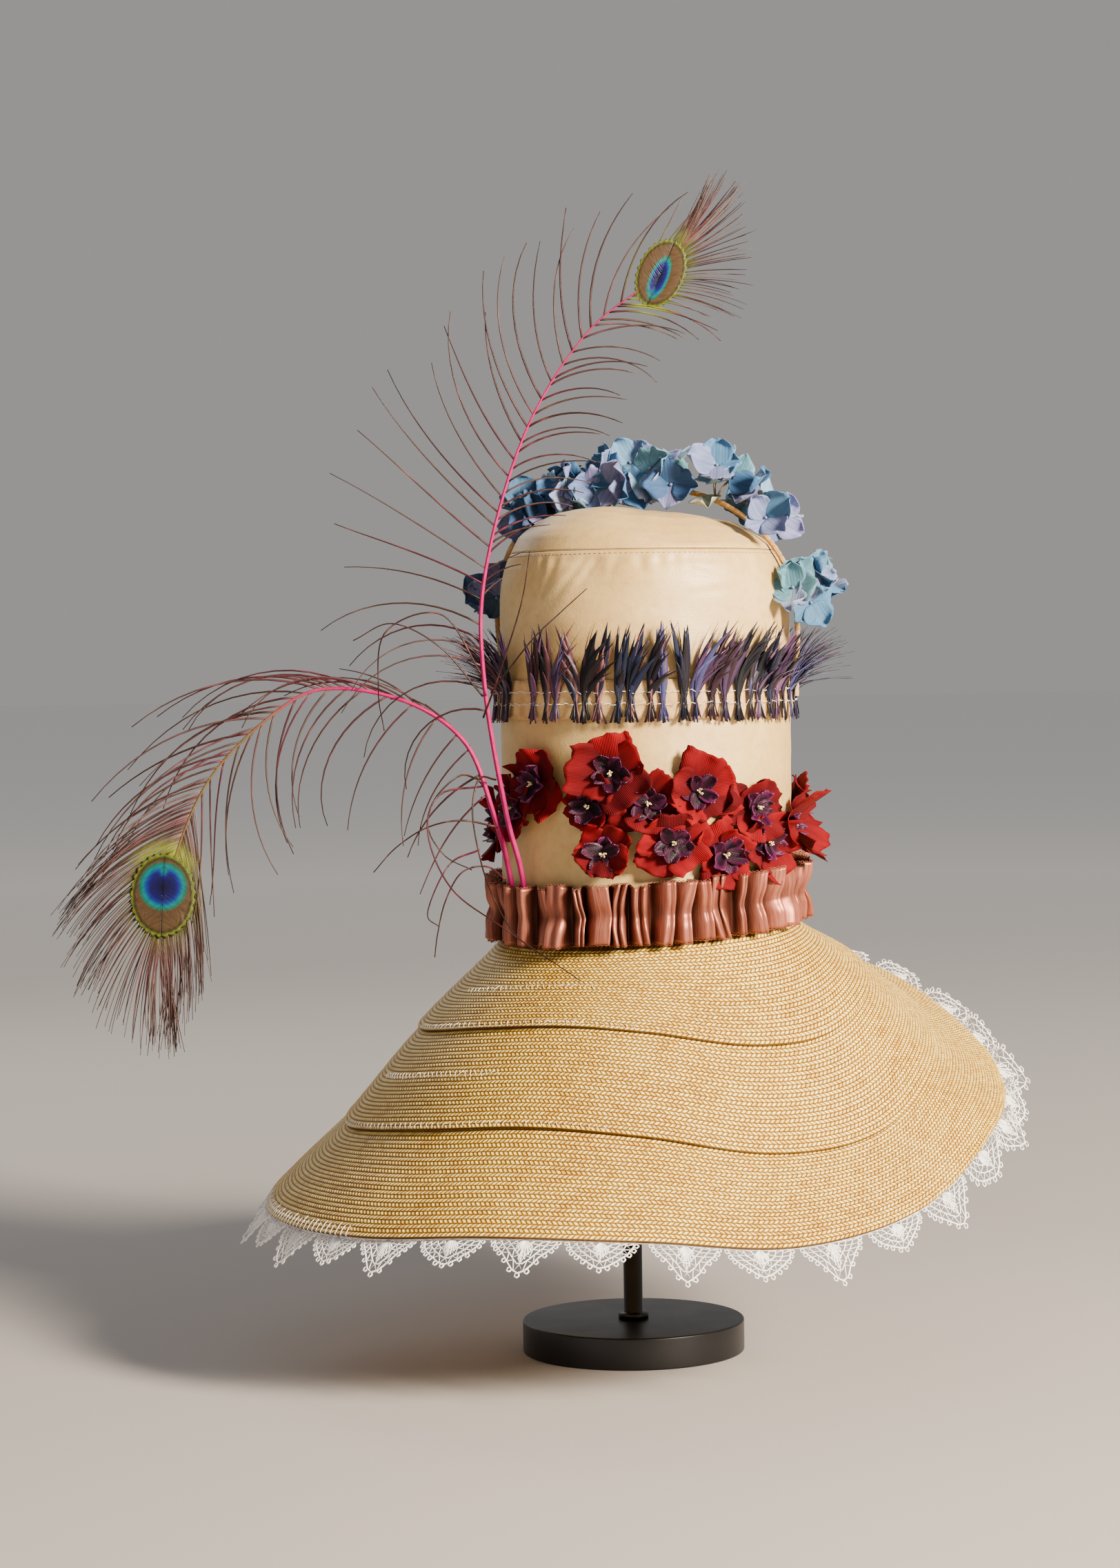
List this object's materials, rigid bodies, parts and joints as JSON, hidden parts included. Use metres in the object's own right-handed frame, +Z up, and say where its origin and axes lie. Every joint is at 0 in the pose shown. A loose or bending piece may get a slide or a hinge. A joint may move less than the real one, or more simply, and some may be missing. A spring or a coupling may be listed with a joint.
{
  "type": "straw hat on a stand",
  "caption": "Tall leather-crowned straw hat with a tiered sweeping brim, lace edge, ribbon ruffle, feathers and cloth flowers, on a round-based display stand.",
  "frame": {"origin": "middle of the stand base's underside", "axes": "+Z up, the front of the hat faces -Y, +X to the viewer's right"},
  "size_m": [0.5858, 0.4904, 0.735],
  "materials": {
    "stand_black": "satin black powder coat",
    "crown_leather": "soft tan hide, fine grain",
    "brim_straw": "sewn straw braid, satin",
    "lace_cotton": "white crocheted thread",
    "ribbon_satin": "copper satin ribbon",
    "band_feather": "dark dyed feather on a woven tape",
    "flower_cloth": "red woven cloth, frayed",
    "flower_velvet": "aubergine velvet",
    "peacock_feather": "bronze herl with a blue eye",
    "stem_raffia": "raffia wrapping",
    "hydrangea_cloth": "pressed blue florets"
  },
  "bodies": {
    "root": {"brim_tier_bottom": "brim_straw", "brim_tier_middle": "brim_straw", "brim_tier_top": "brim_straw", "crown_side": "crown_leather", "crown_tip": "crown_leather", "feather_band": "band_feather", "flower_01_corolla": "flower_cloth", "flower_01_heart": "flower_velvet", "flower_02_corolla": "flower_cloth", "flower_02_heart": "flower_velvet", "flower_03_corolla": "flower_cloth", "flower_03_heart": "flower_velvet", "flower_04_corolla": "flower_cloth", "flower_04_heart": "flower_velvet", "flower_05_corolla": "flower_cloth", "flower_05_heart": "flower_velvet", "flower_06_corolla": "flower_cloth", "flower_06_heart": "flower_velvet", "flower_07_corolla": "flower_cloth", "flower_07_heart": "flower_velvet", "flower_08_corolla": "flower_cloth", "flower_08_heart": "flower_velvet", "flower_09_corolla": "flower_cloth", "flower_09_heart": "flower_velvet", "flower_10_corolla": "flower_cloth", "flower_10_heart": "flower_velvet", "flower_11_corolla": "flower_cloth", "flower_11_heart": "flower_velvet", "flower_12_corolla": "flower_cloth", "flower_12_heart": "flower_velvet", "flower_13_corolla": "flower_cloth", "flower_13_heart": "flower_velvet", "flower_14_corolla": "flower_cloth", "flower_14_heart": "flower_velvet", "flower_15_corolla": "flower_cloth", "flower_15_heart": "flower_velvet", "flower_16_corolla": "flower_cloth", "flower_16_heart": "flower_velvet", "flower_17_corolla": "flower_cloth", "flower_17_heart": "flower_velvet", "flower_18_corolla": "flower_cloth", "flower_18_heart": "flower_velvet", "garland_stem": "stem_raffia", "hydrangea_sprig_1": "hydrangea_cloth", "hydrangea_sprig_2": "hydrangea_cloth", "hydrangea_sprig_3": "hydrangea_cloth", "hydrangea_sprig_4": "hydrangea_cloth", "hydrangea_sprig_5": "hydrangea_cloth", "hydrangea_sprig_6": "hydrangea_cloth", "hydrangea_sprig_7": "hydrangea_cloth", "hydrangea_sprig_8": "hydrangea_cloth", "lace_edging": "lace_cotton", "peacock_feather_arched": "peacock_feather", "peacock_feather_upright": "peacock_feather", "ruffle": "ribbon_satin", "stand_base": "stand_black", "stand_post": "stand_black"}
  },
  "joints": []
}
